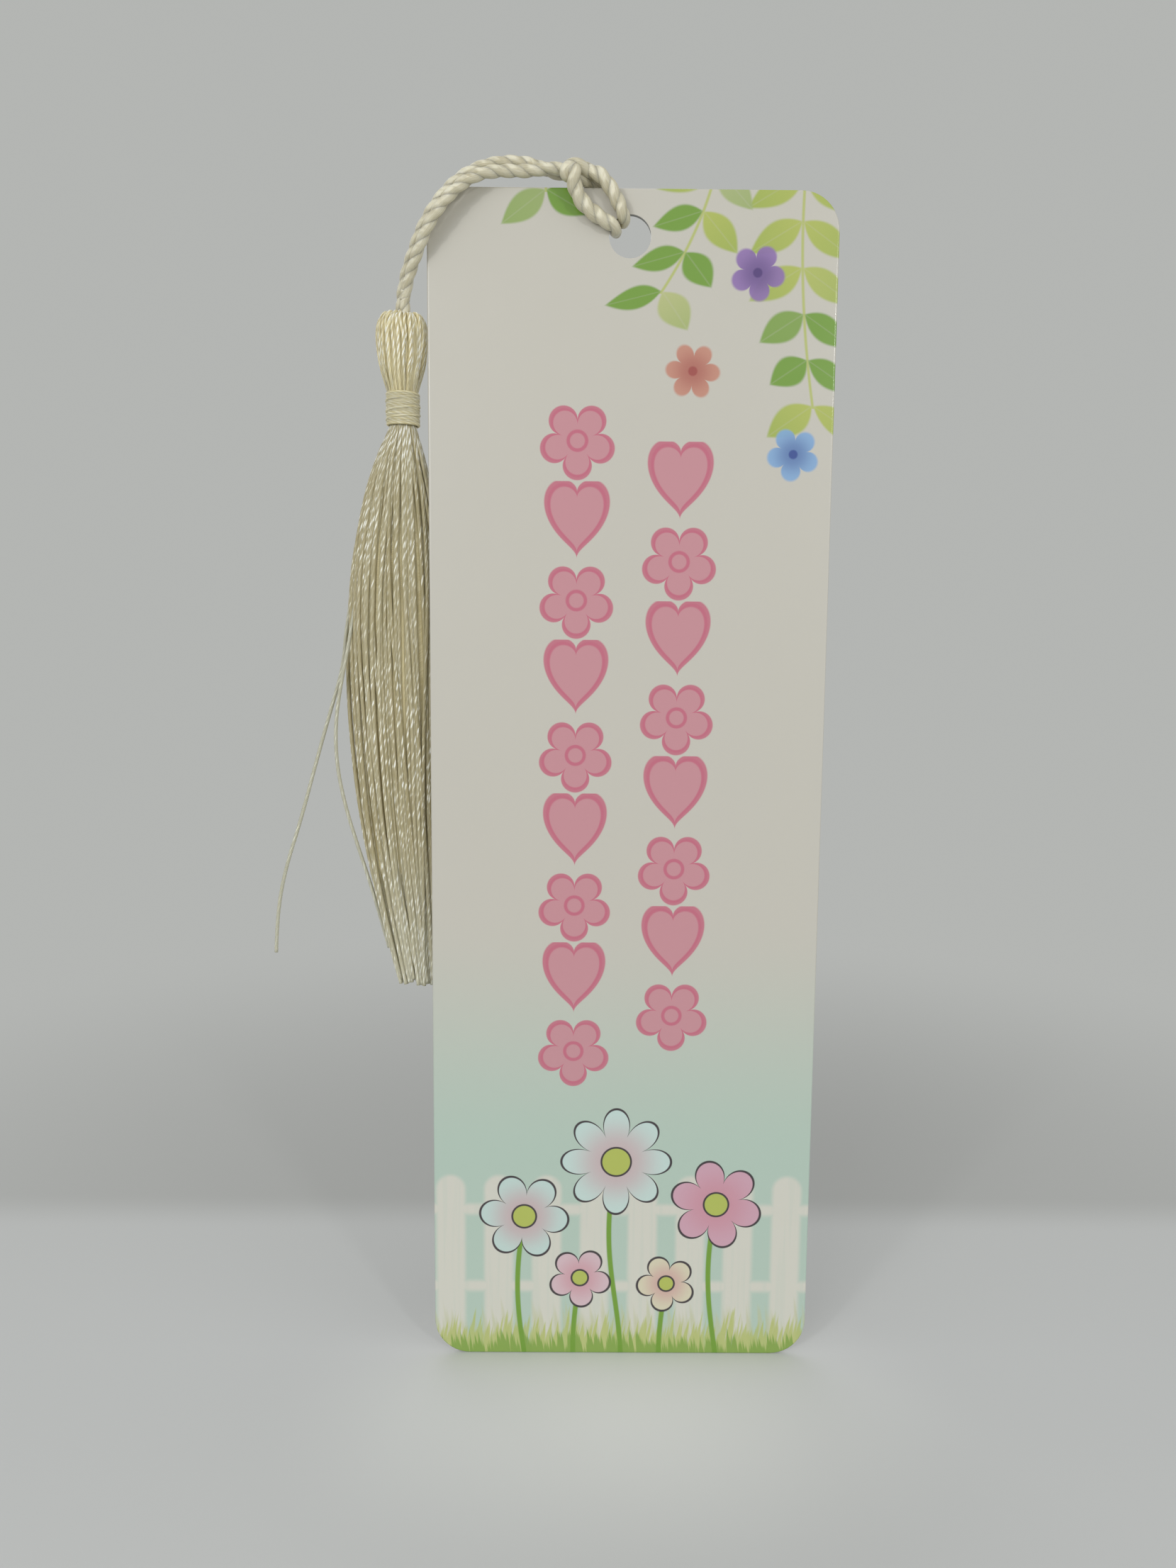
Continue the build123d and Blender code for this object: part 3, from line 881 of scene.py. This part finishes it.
class BOOKMARK_OT_wrap(bpy.types.Operator):
    """Winds the thread round the tassel's neck"""

    bl_idname = "bookmark.wrap"
    bl_label = "Neck wrap"

    def execute(self, context):
        look = context.scene.bookmark_tassel
        finish = floss_finish("wrap_thread", look, roughness=0.5, glints=0.3, lift=1.42)
        middle = (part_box("neck_wrap")[0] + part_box("neck_wrap")[1]) / 2 / MM
        chance = random.Random(11)
        points = []

        def wind(turn, radius, height):
            at = 2 * math.pi * turn + WRAP_START
            points.append((middle.x + radius * math.cos(at), middle.y + radius * math.sin(at), height))

        fall = (NECK_TOP - WRAP_MARGIN - (NECK_FOOT + WRAP_MARGIN)) / look.wrap_turns
        drift = 0.0
        for i in range(look.wrap_turns * WRAP_CORNERS + 1):
            turn = i / WRAP_CORNERS
            drift = 0.85 * drift + chance.uniform(-0.035, 0.035)
            radius = WRAP_RADIUS + 0.03 * math.sin(turn * 2.3) + chance.uniform(-0.012, 0.012)
            wind(turn, radius, NECK_TOP - WRAP_MARGIN - fall * turn + drift)
        for i in range(1, BACK_TURNS * WRAP_CORNERS + 1):
            turn = i / WRAP_CORNERS
            drift = 0.85 * drift + chance.uniform(-0.05, 0.05)
            lift = BACK_LIFT * min(1.0, turn * 2)
            radius = WRAP_RADIUS + lift * (1 if turn < BACK_TURNS - 0.5 else max(0.0, 2 * (BACK_TURNS - turn)))
            wind(turn, radius, NECK_FOOT + BACK_FOOT + BACK_CLIMB * turn + drift)
        path = route("winding", points)
        path.data.resolution_u = 4
        length = path.data.splines[0].calc_length()
        thick, pitch = WRAP_THREAD * MM, WRAP_THREAD_PITCH * MM
        thread = straight_yarn("thread", thick, pitch, length, steps=16, corners=8, plies=False)
        winding = face_out(lay_yarn(thread, path, 0.6), lambda at: Vector((at.x - middle.x, at.y - middle.y, 0)))
        wrap = gather([winding], "neck_winding", finish)
        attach(wrap, "tassel")
        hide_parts("neck_wrap")
        drop(path, thread)
        return {"FINISHED"}


class BOOKMARK_OT_skirt(bpy.types.Operator):
    """Hangs the yarns of the tassel's skirt"""

    bl_idname = "bookmark.skirt"
    bl_label = "Tassel skirt"

    def execute(self, context):
        look = context.scene.bookmark_tassel
        # Painted glints, denser at the ends, and the tips painted paler as painted light
        finish = floss_finish("skirt_floss", look, glints=1.0, sparse=0.49, paling=0.36, dense=0.09)
        middle = (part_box("cord_knot")[0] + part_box("cord_knot")[1]) / 2 / MM
        length = SKIRT_YARN_LENGTH * MM
        yarn = straight_yarn("skirt_yarn", look.yarn_diameter, look.pitch, length, steps=14, corners=8, plies=False)
        chance = random.Random(23)
        thick = look.yarn_diameter / MM
        laid, spent = [], []
        for depth in SKIRT_RINGS:
            count = max(1, round(look.skirt_yarns * depth ** 1.2))
            for place in range(count):
                angle = 2 * math.pi * (place + chance.uniform(-0.3, 0.3)) / count
                short = chance.random() ** 2 * 2.6
                loose = depth > 0.9 and chance.random() < LOOSE_SHARE
                wander = chance.uniform(-0.18, 0.18) * (LOOSE_WANDER if loose else 1.0)
                full = chance.uniform(0.86, 1.1)
                points, shares = [], []
                for j, (fall, wide, deep, left, back) in enumerate(SKIRT_STATIONS):
                    way = j / (len(SKIRT_STATIONS) - 1)
                    if j == len(SKIRT_STATIONS) - 1:
                        fall -= short
                    at = angle + wander * way * way * 2 + chance.uniform(-0.045, 0.045) * min(1.0, way * 2)
                    stand = chance.uniform(-0.05, 0.02) + (LOOSE_STAND if loose else 0.0)
                    out = depth * (1 + stand * min(1.0, way * 3))
                    stray = 0.4 * min(1.0, way * 2) * (1 - 0.6 * depth)
                    points.append((
                        middle.x - left + out * (wide - thick / 2) * math.cos(at) + chance.uniform(-stray, stray),
                        middle.y + back + out * (deep - thick / 2) * math.sin(at) + chance.uniform(-stray, stray) * 0.6,
                        NECK_FOOT - fall,
                    ))
                    shares.append(SKIRT_TAPER[j] * full)
                path = route("hang", points, shares)
                hung = lay_yarn(yarn, path, chance.random(), chance.uniform(0, math.pi))
                laid.append(face_out(hung, self.outward(middle)))
                spent.append(path)
        rings = [
            (middle.x - left, middle.y + back, NECK_FOOT - fall, (wide - thick / 2) * full, (deep - thick / 2) * full)
            for (fall, wide, deep, left, back), full in zip(SKIRT_STATIONS[1:], SKIRT_CORE)
        ]
        pieces = [
            gather(laid[i::SKIRT_GROUPS], f"tassel_skirt_yarns_{i + 1}", finish) for i in range(SKIRT_GROUPS)
        ]
        # The core is painted lighter, a painted light in the gaps between the yarns
        core_light_finish = floss_finish("core_floss_painted_light", look, roughness=0.4, glints=0.0, lift=1.55)
        for piece in (*pieces, packed_core("tassel_skirt_core", rings, core_light_finish)):
            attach(piece, "tassel")
            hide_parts("tassel_skirt")
        drop(yarn, *spent)
        return {"FINISHED"}

    def outward(self, middle):
        """Gives the way out of the skirt at a place, square to its oval section."""
        def way(at):
            near = min(SKIRT_STATIONS, key=lambda station: abs(NECK_FOOT - station[0] - at.z))
            _, wide, deep, left, back = near
            return Vector(((at.x - middle.x + left) / wide ** 2, (at.y - middle.y - back) / deep ** 2, 0))
        return way


class BOOKMARK_OT_strays(bpy.types.Operator):
    """Hangs the two yarns that stand free of the skirt"""

    bl_idname = "bookmark.strays"
    bl_label = "Stray yarns"

    def execute(self, context):
        look = context.scene.bookmark_tassel
        finish = floss_finish("stray_floss", look, glints=0.5, lift=0.7, paling=0.42, pale_from=60.0)
        diameter = STRAY_DIAMETER * MM
        for name, points in (("stray_thread_long", STRAY_LONG_ROUTE), ("stray_thread_short", STRAY_SHORT_ROUTE)):
            path = route(name + "_route", points)
            length = path.data.splines[0].calc_length()
            yarn = straight_yarn("stray_yarn", diameter, look.pitch, length, steps=16, corners=8, plies=False)
            laid = face_out(lay_yarn(yarn, path, 0.4), lambda at: STRAY_FRONT)
            stray = gather([laid], name.replace("thread", "yarn"), finish)
            line = route_points(path)
            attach(stray, "tassel")
            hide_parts(name)
            drop(path, yarn)
        return {"FINISHED"}


class BOOKMARK_OT_stage(bpy.types.Operator):
    """Sets the floor, the soft light and the camera"""

    bl_idname = "bookmark.stage"
    bl_label = "Stage"

    def execute(self, context):
        look = context.scene.bookmark_stage
        self.floor(look)
        self.lamps(look)
        self.world(look)
        self.camera(context)
        context.scene.view_settings.view_transform = "Standard"
        return {"FINISHED"}

    def floor(self, look):
        """A pale floor that runs out into the backdrop's grey."""
        deselect()
        bpy.ops.mesh.primitive_plane_add(size=6.0, location=(0, 0, CAD_BOX[0][2]))
        floor = bpy.context.object
        bpy.ops.object.transform_apply(location=True)
        bpy.ops.object.mode_set(mode="EDIT")
        bpy.ops.mesh.subdivide(number_cuts=8)
        bpy.ops.object.mode_set(mode="OBJECT")
        floor.name = "floor"
        bench = Bench("pale_floor")
        x, y, z = bench.split(bench.node("ShaderNodeTexCoord", None, None, "Object"))
        reach = (x * x + y * y).root()
        depth = bench.ramp(y, *FLOOR_EDGE)
        colour = bench.paint(depth, look.floor, look.backdrop)
        grain = bench.noise(bench.join(x, y, z), 900.0, 2.0)
        colour = bench.paint(grain * 0.05, colour, tuple(c * 0.9 for c in look.floor))
        # A painted pool of light on the floor in front of the card
        front = y + GLOW_FRONT
        glow = bench.inside((x * x * 0.5 + front * front).root() - GLOW_REACH, GLOW_REACH)
        colour = bench.paint(glow * 0.75, colour, GLOW_TONE)
        bench.set(Base_Color=colour, Roughness=0.75, Specular_IOR_Level=0.25)
        far = bench.node("ShaderNodeEmission", None, {"Color": look.backdrop, "Strength": 1.0})
        share = bench.ramp(reach, *FLOOR_FADE)
        near = Wire(bench, bench.finish.outputs[0])
        whole = bench.node("ShaderNodeMixShader", None, [share, near, far])
        bench.feed(bench.tree.nodes["Material Output"].inputs["Surface"], whole)
        floor.data.materials.append(bench.material)

    def lamps(self, look):
        """A broad key from the upper front, two small lamps for the floss to catch, a fill and a rim."""
        for name, place, size, share in LAMPS:
            lamp = bpy.data.lights.new(name, "AREA")
            lamp.size = size
            lamp.energy = look.key * share
            holder = bpy.data.objects.new(name, lamp)
            bpy.context.collection.objects.link(holder)
            holder.location = place
            holder.rotation_euler = (LAMP_AIM - Vector(place)).to_track_quat("-Z", "Y").to_euler()

    def world(self, look):
        """Even light on the object, and the backdrop's grey where it is looked at."""
        world = bpy.data.worlds.new("studio")
        bpy.context.scene.world = world
        world.use_nodes = True
        tree = world.node_tree
        light = tree.nodes["Background"]
        light.inputs["Color"].default_value = (1.0, 1.0, 1.0, 1.0)
        light.inputs["Strength"].default_value = WORLD_LIGHT
        seen = tree.nodes.new("ShaderNodeBackground")
        seen.inputs["Color"].default_value = (*look.backdrop, 1.0)
        rays = tree.nodes.new("ShaderNodeLightPath")
        shown = rays.outputs["Is Camera Ray"]
        for ray in ("Is Transmission Ray", "Is Glossy Ray"):
            either = tree.nodes.new("ShaderNodeMath")
            either.operation = "MAXIMUM"
            tree.links.new(shown, either.inputs[0])
            tree.links.new(rays.outputs[ray], either.inputs[1])
            shown = either.outputs[0]
        mix = tree.nodes.new("ShaderNodeMixShader")
        tree.links.new(shown, mix.inputs[0])
        tree.links.new(light.outputs[0], mix.inputs[1])
        tree.links.new(seen.outputs[0], mix.inputs[2])
        tree.links.new(mix.outputs[0], tree.nodes["World Output"].inputs["Surface"])

    def camera(self, context):
        """The photograph's place, angle and lens."""
        lens = bpy.data.cameras.new("camera")
        lens.sensor_fit = "VERTICAL"
        lens.sensor_height = 36.0
        lens.lens = CAMERA_FOCUS * lens.sensor_height
        lens.clip_start = 0.005
        camera = bpy.data.objects.new("camera", lens)
        context.collection.objects.link(camera)
        view = Vector(CAMERA_VIEW).normalized()
        right = Vector(CAMERA_RIGHT)
        right = (right - view * right.dot(view)).normalized()
        up = right.cross(view)
        turn = Matrix((right, up, -view)).transposed().to_4x4()
        camera.matrix_world = Matrix.Translation(Vector(CAMERA_PLACE) * MM) @ turn
        context.scene.camera = camera


class BOOKMARK_PT_panel(bpy.types.Panel):
    """Sizes, colours and steps of the bookmark"""

    bl_idname = "BOOKMARK_PT_panel"
    bl_label = "Bookmark"
    bl_space_type = "VIEW_3D"
    bl_region_type = "UI"
    bl_category = "Bookmark"

    def draw(self, context):
        for step in STEPS:
            self.layout.operator(step.bl_idname)
        for group in ("bookmark_card", "bookmark_cord", "bookmark_tassel", "bookmark_stage"):
            box = self.layout.box()
            settings = getattr(context.scene, group)
            for key in settings.__annotations__:
                box.prop(settings, key)


STEPS = (
    BOOKMARK_OT_card, BOOKMARK_OT_cord, BOOKMARK_OT_head, BOOKMARK_OT_wrap, BOOKMARK_OT_skirt, BOOKMARK_OT_strays,
    BOOKMARK_OT_stage,
)
SETTINGS = (CardSettings, CordSettings, TasselSettings, StageSettings)


def register():
    for kind in (*SETTINGS, *STEPS, BOOKMARK_PT_panel):
        bpy.utils.register_class(kind)
    bpy.types.Scene.bookmark_card = PointerProperty(type=CardSettings)
    bpy.types.Scene.bookmark_cord = PointerProperty(type=CordSettings)
    bpy.types.Scene.bookmark_tassel = PointerProperty(type=TasselSettings)
    bpy.types.Scene.bookmark_stage = PointerProperty(type=StageSettings)


def unregister():
    for key in ("bookmark_stage", "bookmark_tassel", "bookmark_cord", "bookmark_card"):
        delattr(bpy.types.Scene, key)
    for kind in reversed((*SETTINGS, *STEPS, BOOKMARK_PT_panel)):
        bpy.utils.unregister_class(kind)


def main():
    register()
    bpy.ops.bookmark.card()
    bpy.ops.bookmark.cord()
    bpy.ops.bookmark.head()
    bpy.ops.bookmark.wrap()
    bpy.ops.bookmark.skirt()
    bpy.ops.bookmark.strays()
    bpy.ops.bookmark.stage()


if __name__ == "__main__":
    main()
